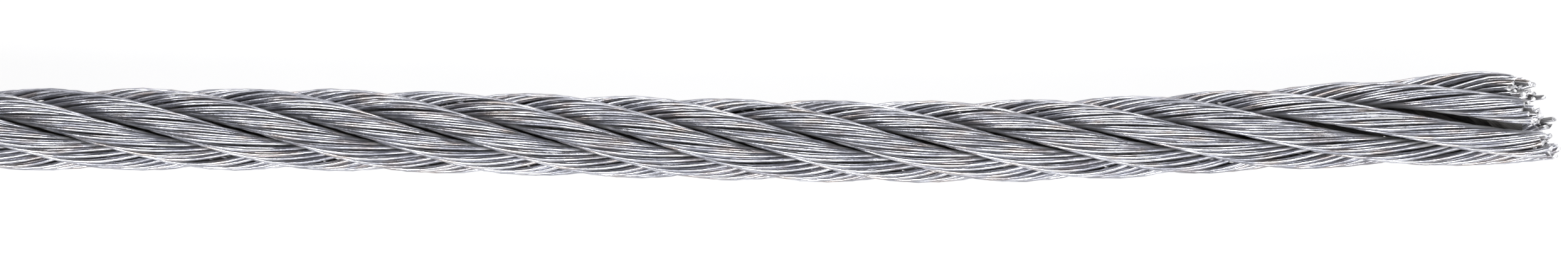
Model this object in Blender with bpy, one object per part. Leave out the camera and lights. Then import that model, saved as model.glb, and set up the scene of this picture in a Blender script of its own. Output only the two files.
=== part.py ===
"""Coil of six-strand wire rope with one straight free end.

The rope is laid up from six strands round a fibre core. Most of its length lies in a coil of
neat turns, made as one ring and held by cable ties that it rests on. The last stretch leaves the
coil at a tangent, lies along the floor and ends in a cut where the strands spring open.

Lengths are in metres and angles in degrees. +Z is up, +X runs along the free end towards its cut,
and the origin is under the middle of the whole object, on the floor.
"""

import math

import bmesh
import bpy
from mathutils import Matrix, Vector

# Rope
ROPE_DIAMETER = 0.010
STRAND_COUNT = 6
ROPE_LAY = 0.0711  # length along the rope in which a strand goes once round
STRAND_AT_SIDE = 0.1086  # distance from the coil at which strand 1 lies straight to the +Y side
CLEARANCE = 0.0003  # between solids that touch on the real rope

# Stock: 5 m of rope, in eight and a third turns of this size and the free end
TURN_DIAMETER = 0.180  # at the middle of the turns
FREE_LENGTH = 0.280  # from the coil to the cut
COLUMNS = 3  # turns side by side
LAYERS = 3  # turns on top of each other

# Cut end
OPENING_LENGTH = 0.040  # stretch over which the strands spring open
OPENING_SPREAD = 1.22  # radius of the opened rope over its laid radius
OPENED_TWIST = 0.45  # twist left at the cut, as a share of the laid rope's
CUT_LEAN_SIDE = 0.43  # how far the cut runs back for each metre towards +Y
CUT_LEAN_UP = 0.25  # and for each metre upwards

# Winding: the rope goes through the coil from the top layer to the bottom one
SECTOR = 48.0  # angle over which a turn moves over, or down
LEAVING_ANGLE = 5.0  # how far past the exit the last turn still closes the coil's side

# Cable ties: one by each end of the coiled rope, one across from them
TIE_ANGLES = (-100.0, 25.0, 160.0)
TIE_WIDTH = 0.0076
TIE_THICKNESS = 0.0015
TIE_CLEARANCE = 0.0005
TIE_HEAD = Vector((0.0055, 0.0100, 0.0090))  # outward, along the turns, upward
HEAD_SINK = 0.0008  # how far a tie's head runs into its band

# Route of the free end: distance from the coil, then offset towards the coil's axis
ROUTE = [
    (0.0000, 0.00000),
    (0.0300, 0.00000),
    (0.0600, 0.00000),
    (0.0914, 0.00000),
    (0.1100, 0.00005),
    (0.1290, 0.00000),
    (0.1480, -0.00040),
    (0.1670, -0.00085),
    (0.1860, -0.00130),
    (0.2050, -0.00145),
    (0.2240, -0.00105),
    (0.2430, -0.00005),
    (0.2620, 0.00100),
    (0.2800, 0.00170),
]
LEVEL_LENGTH = 0.050  # stretch that keeps the coil's height, clear of the coil's side
SETTLED_LENGTH = 0.120  # distance at which the free end reaches the floor

# Facets
COIL_STEPS = 60
SECTION_POINTS = 48
END_STEP = 0.4  # angle over which the section changes at an end of the rope
STRAND_POINTS_PER_LAY = 12
CORE_POINTS_PER_LAY = 6
BEVEL_RESOLUTION = 2
CHANNEL_SIDES = 24
TIE_CORNER_POINTS = 5
CAP_WELD = 0.000001  # joins a flat outline's faces to its edge

# Finishes: colour, roughness, metallic
FINISHES = {
    "galvanised_wire": ((0.55, 0.56, 0.58), 0.32, 1.0),
    "greased_fibre": ((0.035, 0.032, 0.030), 0.85, 0.0),
    "black_nylon": ((0.020, 0.020, 0.022), 0.45, 0.0),
}

# Worked out from the above
ROPE_RADIUS = ROPE_DIAMETER / 2
TURNS = COLUMNS * LAYERS
MEAN_TURN_RADIUS = TURN_DIAMETER / 2
OUTER_TURN_RADIUS = MEAN_TURN_RADIUS + (COLUMNS - 1) / 2 * ROPE_DIAMETER
COIL_BASE = TIE_THICKNESS + TIE_CLEARANCE
BUNDLE_WIDTH = COLUMNS * ROPE_DIAMETER
BUNDLE_HEIGHT = LAYERS * ROPE_DIAMETER
HALF_STRAND_ANGLE = math.pi / STRAND_COUNT
SECTION_ROUNDS = 30  # rounds in which the strand's radius settles


def smooth_step(value, low, high):
    """Smooth rise from 0 at low to 1 at high."""
    share = min(1.0, max(0.0, (value - low) / (high - low)))
    return share * share * (3 - 2 * share)


def lean_of(circle):
    """Angle between the rope and a strand whose middle runs on a circle of this radius."""
    return math.atan(2 * math.pi * circle / ROPE_LAY)


def strand_section():
    """Radius of a strand, and radius of the circle its middle runs on, with strands just clear."""
    radius = ROPE_RADIUS / STRAND_COUNT
    for _ in range(SECTION_ROUNDS):
        circle = ROPE_RADIUS - radius
        beside = circle * math.sin(HALF_STRAND_ANGLE) * math.cos(lean_of(circle))
        radius = beside - CLEARANCE / 2
    return radius, ROPE_RADIUS - radius


STRAND_RADIUS, STRAND_CIRCLE = strand_section()
CORE_RADIUS = STRAND_CIRCLE - STRAND_RADIUS - CLEARANCE


def stretch():
    """How much longer the free end is than the route as listed."""
    return FREE_LENGTH / ROUTE[-1][0]


def route_offset(distance):
    """Sideways offset of the free end at a distance from the coil, on a smooth curve."""
    last = len(ROUTE) - 2
    piece = max(i for i in range(last + 1) if i == 0 or ROUTE[i][0] * stretch() <= distance)
    (x0, y0), (x1, y1) = ROUTE[piece], ROUTE[piece + 1]
    before = ROUTE[max(piece - 1, 0)]
    after = ROUTE[min(piece + 2, last + 1)]
    slope0 = (y1 - before[1]) / (x1 - before[0])
    slope1 = (after[1] - y0) / (after[0] - x0)
    step = x1 - x0
    t = (distance / stretch() - x0) / step
    rise = (2 * t**3 - 3 * t**2 + 1) * y0 + (3 * t**2 - 2 * t**3) * y1
    return rise + step * ((t**3 - 2 * t**2 + t) * slope0 + (t**3 - t**2) * slope1)


def opened(distance):
    """How far the rope has sprung open, from 0 where it is laid to 1 at the cut."""
    return smooth_step(distance, FREE_LENGTH - OPENING_LENGTH, FREE_LENGTH)


def spread(distance):
    """Radius of the rope over its laid radius."""
    return 1 + (OPENING_SPREAD - 1) * opened(distance)


def route_point(distance):
    """Middle of the free end at a distance from the coil."""
    down = smooth_step(distance, LEVEL_LENGTH, SETTLED_LENGTH)
    height = ROPE_RADIUS * spread(distance) + COIL_BASE * (1 - down)
    return Vector((distance, route_offset(distance) - OUTER_TURN_RADIUS, height))


def twist(distance):
    """Angle that the strands have turned since strand 1 lay to the side."""
    laid = 2 * math.pi * (distance - STRAND_AT_SIDE) / ROPE_LAY
    into = max(0.0, distance - (FREE_LENGTH - OPENING_LENGTH))
    lost = (1 - OPENED_TWIST) * into**2 / (2 * OPENING_LENGTH)
    return laid - 2 * math.pi * lost / ROPE_LAY


def strand_offset(distance, index):
    """Where a strand's middle lies from the rope's middle, as sideways and upward parts."""
    angle = twist(distance) + 2 * math.pi * index / STRAND_COUNT
    radius = STRAND_CIRCLE * spread(distance)
    return radius * math.cos(angle), radius * math.sin(angle)


def strand_point(distance, index):
    """Middle of one strand at a distance from the coil."""
    side, up = strand_offset(distance, index)
    return route_point(distance) + Vector((0, side, up))


def strand_end(index):
    """Distance at which the leaning cut crosses a strand."""
    side, up = strand_offset(FREE_LENGTH, index)
    longest = STRAND_CIRCLE * OPENING_SPREAD * math.hypot(CUT_LEAN_SIDE, CUT_LEAN_UP)
    return FREE_LENGTH - longest - CUT_LEAN_SIDE * side - CUT_LEAN_UP * up


def turn_centre(column, layer):
    """Middle of one turn in the coil's section, as radius and height."""
    first = MEAN_TURN_RADIUS - (COLUMNS - 1) / 2 * ROPE_DIAMETER
    return first + column * ROPE_DIAMETER, COIL_BASE + (layer + 0.5) * ROPE_DIAMETER


def turn_moves():
    """Where the rope moves over or down: angle travelled, change of column, change of layer.

    The sectors follow each other from the exit on, so that each move has a place that the one
    before has left, and no turn crosses another.
    """
    moves = []
    for turn in range(1, TURNS):
        layer = LAYERS - 1 - (turn - 1) // COLUMNS
        if turn % COLUMNS:
            over = 1 if layer % 2 == 0 else -1
            moves.append((360.0 * turn + SECTOR * 2 * layer, over, 0))
        else:
            moves.append((360.0 * turn + SECTOR * (2 * layer - 1), 0, -1))
    return moves


def turns_at(angle):
    """Middles of the turns in the coil's section at an angle past the exit."""
    first = SECTOR * (2 * LAYERS - 1)
    last = 360.0 * TURNS + LEAVING_ANGLE
    found = []
    for turn in range(TURNS + 1):
        travelled = angle + 360.0 * turn
        if first <= travelled <= last:
            column, layer = 0.0, LAYERS - 1.0
            for begins, over, down in turn_moves():
                moved = smooth_step(travelled, begins, begins + SECTOR)
                column += over * moved
                layer += down * moved
            found.append(turn_centre(column, layer))
    return found


def section_reach(turns, way):
    """How far the turns reach from the bundle's middle in a direction."""
    reach = 0.0
    for radius, height in turns:
        x = radius - MEAN_TURN_RADIUS
        y = height - COIL_BASE - BUNDLE_HEIGHT / 2
        ahead = x * math.cos(way) + y * math.sin(way)
        aside = x * math.sin(way) - y * math.cos(way)
        if abs(aside) < ROPE_RADIUS:
            reach = max(reach, ahead + math.sqrt(ROPE_RADIUS**2 - aside**2))
    return reach


def new_material(name):
    """Principled material of one of the finishes."""
    colour, roughness, metallic = FINISHES[name]
    material = bpy.data.materials.new(name)
    material.use_nodes = True
    shader = material.node_tree.nodes["Principled BSDF"]
    shader.inputs["Base Color"].default_value = (*colour, 1.0)
    shader.inputs["Roughness"].default_value = roughness
    shader.inputs["Metallic"].default_value = metallic
    return material


def add_object(name, data, collection, parent, material=None):
    """Object made from data, linked and parented."""
    made = bpy.data.objects.new(name, data)
    collection.objects.link(made)
    made.parent = parent
    if material:
        data.materials.append(material)
    return made


def add_poly_curve(name, points, radius, collection, parent, material):
    """Round bar with closed ends along points."""
    curve = bpy.data.curves.new(name, "CURVE")
    curve.dimensions = "3D"
    curve.bevel_depth = radius
    curve.bevel_resolution = BEVEL_RESOLUTION
    curve.use_fill_caps = True
    curve.twist_mode = "MINIMUM"
    spline = curve.splines.new("POLY")
    spline.points.add(len(points) - 1)
    for spot, point in zip(spline.points, points):
        spot.co = (*point, 1.0)
    spline.use_smooth = True
    return add_object(name, curve, collection, parent, material)


def hide_helper(helper):
    """Cutter or guide that isn't part of the object."""
    helper.hide_render = True
    helper.display_type = "WIRE"


def add_boolean(target, other, operation):
    """Boolean modifier on target."""
    modifier = target.modifiers.new(operation.title(), "BOOLEAN")
    modifier.operation = operation
    modifier.object = other
    modifier.solver = "EXACT"


def add_channel(collection, parent):
    """Cutter that takes the leaving rope's room out of the side of the coil."""
    start = route_point(0.0)
    radius = (ROPE_RADIUS + CLEARANCE) / math.cos(math.pi / CHANNEL_SIDES)
    length = OUTER_TURN_RADIUS + BUNDLE_WIDTH
    mesh = bpy.data.meshes.new("leaving_channel")
    shape = bmesh.new()
    bmesh.ops.create_cone(
        shape, cap_ends=True, segments=CHANNEL_SIDES, radius1=radius, radius2=radius, depth=length
    )
    turned = Matrix.Rotation(math.pi / 2, 4, "Y")
    moved = Matrix.Translation(start + Vector((length / 2, 0, 0)))
    bmesh.ops.transform(shape, matrix=moved @ turned, verts=shape.verts)
    shape.to_mesh(mesh)
    shape.free()
    channel = add_object("leaving_channel", mesh, collection, parent)
    hide_helper(channel)
    return channel


def coil_angles():
    """Angles past the exit at which the coil's section is taken."""
    start = SECTOR * (2 * LAYERS - 1)
    even = [360.0 * step / COIL_STEPS for step in range(COIL_STEPS)]
    ends = [LEAVING_ANGLE, LEAVING_ANGLE + END_STEP, start - END_STEP, start]
    return sorted(set(even + ends))


def add_coil(collection, cutters, parent, material):
    """All the turns as one ring with its bore, lofted through sections of the bundle."""
    shape = bmesh.new()
    rings = []
    for angle in coil_angles():
        turns = turns_at(angle)
        around = math.radians(angle) - math.pi / 2
        ring = []
        for point in range(SECTION_POINTS):
            way = 2 * math.pi * point / SECTION_POINTS
            reach = section_reach(turns, way)
            radius = MEAN_TURN_RADIUS + reach * math.cos(way)
            height = COIL_BASE + BUNDLE_HEIGHT / 2 + reach * math.sin(way)
            corner = (radius * math.cos(around), radius * math.sin(around), height)
            ring.append(shape.verts.new(corner))
        rings.append(ring)
    for place, ring in enumerate(rings):
        ahead = rings[(place + 1) % len(rings)]
        for point in range(SECTION_POINTS):
            after = (point + 1) % SECTION_POINTS
            shape.faces.new((ring[point], ahead[point], ahead[after], ring[after]))
    bmesh.ops.recalc_face_normals(shape, faces=shape.faces)
    mesh = bpy.data.meshes.new("coil_turns")
    shape.to_mesh(mesh)
    shape.free()
    coil = add_object("coil_turns", mesh, collection, parent, material)
    add_boolean(coil, add_channel(cutters, parent), "DIFFERENCE")
    return coil


def add_strand(index, collection, parent, material):
    """One strand of the free end, as a round bar that winds round the core."""
    start = CLEARANCE + STRAND_RADIUS * math.tan(lean_of(STRAND_CIRCLE))
    end = strand_end(index)
    count = math.ceil((end - start) / ROPE_LAY * STRAND_POINTS_PER_LAY)
    points = [strand_point(start + (end - start) * i / count, index) for i in range(count + 1)]
    name = f"free_end_strand_{index + 1}"
    return add_poly_curve(name, points, STRAND_RADIUS, collection, parent, material)


def add_core(collection, parent, material):
    """Fibre core of the free end, cut as far out as its shortest neighbour."""
    start = CLEARANCE
    end = min(strand_end(index) for index in range(STRAND_COUNT))
    count = math.ceil((end - start) / ROPE_LAY * CORE_POINTS_PER_LAY)
    points = [route_point(start + (end - start) * i / count) for i in range(count + 1)]
    return add_poly_curve("free_end_core", points, CORE_RADIUS, collection, parent, material)


def band_outline(grow):
    """Rounded rectangle that lies grow outside the bundle of turns, round its middle."""
    corner = ROPE_RADIUS + grow
    across = BUNDLE_WIDTH / 2 - ROPE_RADIUS
    upward = BUNDLE_HEIGHT / 2 - ROPE_RADIUS
    corners = [(across, upward), (-across, upward), (-across, -upward), (across, -upward)]
    outline = []
    for quarter, (x, y) in enumerate(corners):
        for step in range(TIE_CORNER_POINTS):
            angle = math.pi / 2 * (quarter + step / (TIE_CORNER_POINTS - 1))
            outline.append((x + corner * math.cos(angle), y + corner * math.sin(angle)))
    return outline


def band_mesh(name):
    """Flat band that goes round the bundle, lying in the XY plane round the origin."""
    curve = bpy.data.curves.new(name, "CURVE")
    curve.dimensions = "2D"
    curve.fill_mode = "BOTH"
    curve.extrude = TIE_WIDTH / 2
    for grow in (TIE_CLEARANCE, TIE_CLEARANCE + TIE_THICKNESS):
        outline = band_outline(grow)
        spline = curve.splines.new("POLY")
        spline.points.add(len(outline) - 1)
        spline.use_cyclic_u = True
        for spot, (x, y) in zip(spline.points, outline):
            spot.co = (x, y, 0.0, 1.0)
    guide = bpy.data.objects.new(name, curve)
    bpy.context.scene.collection.objects.link(guide)
    bpy.context.view_layer.update()
    graph = bpy.context.evaluated_depsgraph_get()
    mesh = bpy.data.meshes.new_from_object(guide.evaluated_get(graph))
    bpy.data.objects.remove(guide)
    bpy.data.curves.remove(curve)
    shape = bmesh.new()
    shape.from_mesh(mesh)
    bmesh.ops.remove_doubles(shape, verts=shape.verts, dist=CAP_WELD)
    bmesh.ops.recalc_face_normals(shape, faces=shape.faces)
    shape.to_mesh(mesh)
    shape.free()
    return mesh


def add_tie(index, collection, cutters, parent, material):
    """One cable tie: a band round the bundle with its head on the outer side."""
    angle = math.radians(TIE_ANGLES[index])
    name = f"cable_tie_{index + 1}"
    upright = Matrix.Rotation(math.pi / 2, 4, "X")
    out = Matrix.Translation((MEAN_TURN_RADIUS, 0, COIL_BASE + BUNDLE_HEIGHT / 2))
    place = Matrix.Rotation(angle, 4, "Z") @ out
    tie = add_object(name, band_mesh(name), collection, parent, material)
    tie.matrix_local = place @ upright
    head_mesh = bpy.data.meshes.new(name + "_head")
    shape = bmesh.new()
    bmesh.ops.create_cube(shape, size=1.0)
    reach = BUNDLE_WIDTH / 2 + TIE_CLEARANCE + TIE_THICKNESS - HEAD_SINK + TIE_HEAD.x / 2
    sized = Matrix.Diagonal((*TIE_HEAD, 1.0))
    bmesh.ops.transform(shape, matrix=Matrix.Translation((reach, 0, 0)) @ sized, verts=shape.verts)
    shape.to_mesh(head_mesh)
    shape.free()
    head = add_object(name + "_head", head_mesh, cutters, parent)
    head.matrix_local = place
    hide_helper(head)
    add_boolean(tie, head, "UNION")
    return tie


def centre_on_floor(root, pieces):
    """Moves the whole object so that the origin is under the middle of its box."""
    bpy.context.view_layer.update()
    graph = bpy.context.evaluated_depsgraph_get()
    corners = []
    for piece in pieces:
        shown = piece.evaluated_get(graph)
        corners += [shown.matrix_world @ vertex.co for vertex in shown.to_mesh().vertices]
        shown.to_mesh_clear()
    low = [min(corner[axis] for corner in corners) for axis in range(3)]
    high = [max(corner[axis] for corner in corners) for axis in range(3)]
    root.location = (-(low[0] + high[0]) / 2, -(low[1] + high[1]) / 2, -low[2])


def build():
    """The whole object."""
    for thing in list(bpy.data.objects):
        bpy.data.objects.remove(thing, do_unlink=True)
    collection = bpy.data.collections.new("coil_of_wire_rope")
    cutters = bpy.data.collections.new("cutters")
    bpy.context.scene.collection.children.link(collection)
    bpy.context.scene.collection.children.link(cutters)
    root = add_object("coil_of_wire_rope", None, collection, None)
    zinc = new_material("galvanised_wire")
    fibre = new_material("greased_fibre")
    nylon = new_material("black_nylon")
    pieces = [add_coil(collection, cutters, root, zinc), add_core(collection, root, fibre)]
    pieces += [add_strand(index, collection, root, zinc) for index in range(STRAND_COUNT)]
    pieces += [add_tie(index, collection, cutters, root, nylon) for index in range(len(TIE_ANGLES))]
    centre_on_floor(root, pieces)


build()
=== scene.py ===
"""Looks of the coil of wire rope: the wires of its free end, the turns of its coil and its ties.

The rope is six strands laid right-handed round a greased fibre core. Each strand is nineteen
drawn, galvanised wires, laid left-handed: twelve outer ones, six inner ones and one in the middle.
Lengths are in metres, +Z is up, and a distance along the rope is counted from where it leaves the
coil, so it is negative inside the coil.
"""

from __future__ import annotations

import logging
import math
from dataclasses import dataclass, replace
from enum import Enum
from typing import Any

import bmesh
import bpy
import numpy as np
from mathutils import Matrix, Vector

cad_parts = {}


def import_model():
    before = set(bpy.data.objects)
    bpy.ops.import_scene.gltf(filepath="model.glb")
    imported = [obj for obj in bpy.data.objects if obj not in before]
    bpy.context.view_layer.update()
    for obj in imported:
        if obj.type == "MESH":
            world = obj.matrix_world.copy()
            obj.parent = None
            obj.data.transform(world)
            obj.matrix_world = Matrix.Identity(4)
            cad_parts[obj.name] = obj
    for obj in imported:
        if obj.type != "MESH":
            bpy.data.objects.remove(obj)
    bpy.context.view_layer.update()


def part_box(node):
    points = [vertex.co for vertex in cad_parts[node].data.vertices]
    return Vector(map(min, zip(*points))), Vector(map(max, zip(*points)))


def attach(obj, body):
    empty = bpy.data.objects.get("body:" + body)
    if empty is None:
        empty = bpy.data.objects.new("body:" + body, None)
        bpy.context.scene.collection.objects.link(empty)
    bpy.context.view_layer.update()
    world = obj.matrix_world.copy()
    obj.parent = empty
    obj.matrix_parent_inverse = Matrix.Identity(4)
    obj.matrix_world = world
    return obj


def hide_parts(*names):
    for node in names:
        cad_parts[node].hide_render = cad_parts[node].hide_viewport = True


log = logging.getLogger("coil_of_wire_rope")

IMAGE_WIDTH_PX = 2500
IMAGE_HEIGHT_PX = 406
FULL_TURN = 2 * math.pi
FULL_TURN_DEGREES = 360.0
UPWARD = (0.0, 0.0, 1.0)

Directions = tuple[np.ndarray, np.ndarray, np.ndarray]
Colour = tuple[float, float, float, float]
Stops = tuple[tuple[float, float], ...]


class Slot(Enum):
    """Material slots of the record."""

    WIRE = "galvanised_wire"
    FIBRE = "greased_fibre"
    NYLON = "black_nylon"


def smooth_step(value: np.ndarray | float, low: float, high: float) -> np.ndarray:
    """Smooth rise from 0 where the value is low to 1 where it is high."""
    share = np.clip((np.asarray(value, float) - low) / (high - low), 0.0, 1.0)
    return share * share * (3 - 2 * share)


def unit(vectors: np.ndarray) -> np.ndarray:
    """Vectors scaled to length 1."""
    return vectors / np.linalg.norm(vectors, axis=-1, keepdims=True)


def round_angles(sides: int) -> np.ndarray:
    """Angles of points spaced evenly round a circle."""
    return FULL_TURN * np.arange(sides) / sides


def square_frame(line: np.ndarray, along: np.ndarray, away: np.ndarray) -> Directions:
    """Frame along a line, from rough directions away from something beside it.

    Args:
        line: Points of the line.
        along: Distance of each point along the rope.
        away: The rough directions.

    Returns:
        Directions ahead, directions away that are square to them, and directions across both.
    """
    ahead = unit(np.gradient(line, along, axis=0))
    away = unit(away - (away * ahead).sum(1, keepdims=True) * ahead)
    return ahead, away, np.cross(ahead, away)


def level_frame(line: np.ndarray, along: np.ndarray) -> Directions:
    """Frame along a line that keeps one direction level.

    Args:
        line: Points of the line.
        along: Distance of each point along the line.

    Returns:
        Directions ahead, level directions to their left, and directions up from both.
    """
    ahead = unit(np.gradient(line, along, axis=0))
    side = unit(np.cross(UPWARD, ahead))
    return ahead, side, np.cross(ahead, side)


def rounded(angle: np.ndarray, away: np.ndarray, across: np.ndarray) -> np.ndarray:
    """Directions at angles round a line, where away is angle 0 and across a quarter turn."""
    return np.cos(angle)[..., None] * away[:, None] + np.sin(angle)[..., None] * across[:, None]


def wander(rng: np.random.Generator, along: np.ndarray, reach: float, size: float) -> np.ndarray:
    """Slow random drift along a wire, the sum of a few waves.

    Args:
        rng: Source of the random waves.
        along: Distances at which the drift is read.
        reach: Length over which the drift changes.
        size: Usual size of the drift.

    Returns:
        The drift at each distance.
    """
    waves, shortest, longest = 3, 0.7, 2.2
    total = np.zeros_like(along)
    for _ in range(waves):
        wave = reach * rng.uniform(shortest, longest)
        total += np.sin(FULL_TURN * (along / wave + rng.uniform()))
    return total * size / math.sqrt(waves / 2)


def on_wire(
    along: np.ndarray,
    radius: np.ndarray | float,
    turn: np.ndarray,
    start: float = 0.0,
    shift: float = 0.0,
) -> np.ndarray:
    """Place of each corner on its own straightened wire, over which the finishes are drawn.

    Args:
        along: Distance of each ring along the rope.
        radius: Radius of the wire.
        turn: Angle of each corner round the wire.
        start: Added to the distances, so that wires don't all look alike.
        shift: Moves the place sideways, for the same reason.

    Returns:
        The places, ring by ring.
    """
    places = np.empty((len(along), len(turn), 3))
    places[..., 0] = along[:, None] + start
    places[..., 1] = radius * np.cos(turn) + shift
    places[..., 2] = radius * np.sin(turn)
    return places


@dataclass(frozen=True)
class RopeMake:
    """How the rope is laid up.

    The diameter, the strands and their lay are those of the solids, and the gaps are narrower
    here. A wire is given by the radius of the circle that it runs on in its strand, and by where
    on that circle it starts, as a share of a turn.
    """

    diameter: float = 0.010
    strands: int = 6
    lay: float = 0.0711
    strand_at_side: float = 0.1086
    strand_gap: float = 0.00020
    wires_out: int = 12
    wires_in: int = 6
    wires_across: int = 5
    wire_lay: float = 0.0225
    core_gap: float = 0.00010
    settling_rounds: int = 30
    valley_bottom: float = 0.60
    valley_top: float = 0.75

    @property
    def radius(self) -> float:
        """Half of the rope's diameter."""
        return self.diameter / 2

    @property
    def strand_radius(self) -> float:
        """Radius of a strand that leaves the gap to its neighbours.

        Returns:
            The radius, which settles as it and the strand's lean are worked out by turns.
        """
        radius = self.radius / self.strands
        for _ in range(self.settling_rounds):
            circle = self.radius - radius
            lean = math.atan(FULL_TURN * circle / self.lay)
            radius = circle * math.sin(math.pi / self.strands) * math.cos(lean) - self.strand_gap / 2
        return radius

    @property
    def strand_circle(self) -> float:
        """Radius of the circle that the middles of the strands run on."""
        return self.radius - self.strand_radius

    @property
    def wire_diameter(self) -> float:
        """Diameter of a wire, as five of them lie across a strand."""
        return 2 * self.strand_radius / self.wires_across

    @property
    def core_radius(self) -> float:
        """What is left inside the strands."""
        return self.strand_circle - self.strand_radius - self.core_gap

    def outer_wires(self) -> list[tuple[float, float]]:
        """The wires on the outside of a strand."""
        count = self.wires_out
        return [(2 * self.wire_diameter, number / count) for number in range(count)]

    def inner_wires(self) -> list[tuple[float, float]]:
        """The wires under those, and the one in the middle.

        Returns:
            The wires, with the middle one last.
        """
        count = self.wires_in
        ring = [(self.wire_diameter, (number + 0.5) / count) for number in range(count)]
        return [*ring, (0.0, 0.0)]

    def exposure(self, rings: np.ndarray, centre: np.ndarray, spread: np.ndarray) -> np.ndarray:
        """How far corners stand out of the valleys between strands: 0 at the bottom, 1 outside."""
        reach = np.linalg.norm(rings - centre[:, None], axis=2) / (self.radius * spread)[:, None]
        return smooth_step(reach, self.valley_bottom, self.valley_top)


@dataclass
class RopePath:
    """A stretch of rope, read at steps along it.

    Each step has its distance, the rope's middle, directions to the side and up, the rope's
    radius over its laid radius, and the angles that its strands and its wires have turned.
    """

    along: np.ndarray
    centre: np.ndarray
    side: np.ndarray
    up: np.ndarray
    spread: np.ndarray
    twist: np.ndarray
    wire_turn: np.ndarray

    def first(self, count: int) -> "RopePath":
        """The first steps of the stretch."""
        return RopePath(**{name: values[:count] for name, values in vars(self).items()})

    def strand_frame(self, make: RopeMake, index: int) -> Directions:
        """Middle of one strand and the directions that its wires turn in.

        Args:
            make: How the rope is laid up.
            index: Number of the strand, from 0.

        Returns:
            Middles, directions away from the rope's middle, and directions across the strand.
        """
        angle = (self.twist + FULL_TURN * index / make.strands)[:, None]
        out = np.cos(angle) * self.side + np.sin(angle) * self.up
        middle = self.centre + make.strand_circle * self.spread[:, None] * out
        _, out, across = square_frame(middle, self.along, out)
        return middle, out, across


@dataclass
class FreeRoute:
    """Route of the free end, which runs straight off the coil and ends in the opened cut.

    The points pair a distance from the coil with an offset towards the coil's axis.
    """

    exit: Vector
    make: RopeMake
    coil_base: float = 0.002
    length: float = 0.280
    level_length: float = 0.050
    settled_length: float = 0.120
    opening_length: float = 0.040
    opening_spread: float = 1.22
    opened_twist: float = 0.45
    points: tuple[tuple[float, float], ...] = (
        (0.0000, 0.00000),
        (0.0300, 0.00000),
        (0.0600, 0.00000),
        (0.0914, 0.00000),
        (0.1100, 0.00005),
        (0.1290, 0.00000),
        (0.1480, -0.00040),
        (0.1670, -0.00085),
        (0.1860, -0.00130),
        (0.2050, -0.00145),
        (0.2240, -0.00105),
        (0.2430, -0.00005),
        (0.2620, 0.00100),
        (0.2800, 0.00170),
    )

    def offset(self, along: float) -> float:
        """Sideways offset of the rope's middle, on a smooth curve through the points.

        Args:
            along: Distance from the coil.

        Returns:
            The offset towards the coil's axis.
        """
        last = len(self.points) - 2
        piece = max(i for i in range(last + 1) if i == 0 or self.points[i][0] <= along)
        (x0, y0), (x1, y1) = self.points[piece], self.points[piece + 1]
        before = self.points[max(piece - 1, 0)]
        after = self.points[min(piece + 2, last + 1)]
        slope0 = (y1 - before[1]) / (x1 - before[0])
        slope1 = (after[1] - y0) / (after[0] - x0)
        step = x1 - x0
        t = (along - x0) / step
        rise = (2 * t**3 - 3 * t**2 + 1) * y0 + (3 * t**2 - 2 * t**3) * y1
        return rise + step * ((t**3 - 2 * t**2 + t) * slope0 + (t**3 - t**2) * slope1)

    def centres(self, along: np.ndarray) -> np.ndarray:
        """Middles of the rope.

        Args:
            along: Distances from the coil.

        Returns:
            The middle at each distance.
        """
        down = smooth_step(along, self.level_length, self.settled_length)
        offsets = np.array([self.offset(max(distance, 0.0)) for distance in along])
        height = self.make.radius * self.spread(along) + self.coil_base * (1 - down)
        return np.stack([self.exit.x + along, self.exit.y + offsets, height], axis=1)

    def spread(self, along: np.ndarray) -> np.ndarray:
        """Radius of the opened rope over its laid radius."""
        opened = smooth_step(along, self.length - self.opening_length, self.length)
        return 1 + (self.opening_spread - 1) * opened

    def lost_turn(self, along: np.ndarray, share: float) -> np.ndarray:
        """Length of laid rope whose turn is gone, where a share of it is gone at the cut."""
        into = np.maximum(0.0, along - (self.length - self.opening_length))
        return share * into**2 / (2 * self.opening_length)

    def path(self, along: np.ndarray, wire_slack: float) -> RopePath:
        """The free end as a stretch of rope.

        Args:
            along: Distances from the coil.
            wire_slack: Share of the wires' own twist that is gone at the cut.

        Returns:
            The rope at each distance.
        """
        count = len(along)
        laid = FULL_TURN * (along - self.make.strand_at_side) / self.make.lay
        lost = FULL_TURN * self.lost_turn(along, 1 - self.opened_twist) / self.make.lay
        wires = along - self.lost_turn(along, wire_slack)
        return RopePath(
            along=along,
            centre=self.centres(along),
            side=np.tile([0.0, 1.0, 0.0], (count, 1)),
            up=np.tile(UPWARD, (count, 1)),
            spread=self.spread(along),
            twist=laid - lost,
            wire_turn=FULL_TURN * wires / self.make.wire_lay,
        )


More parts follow.
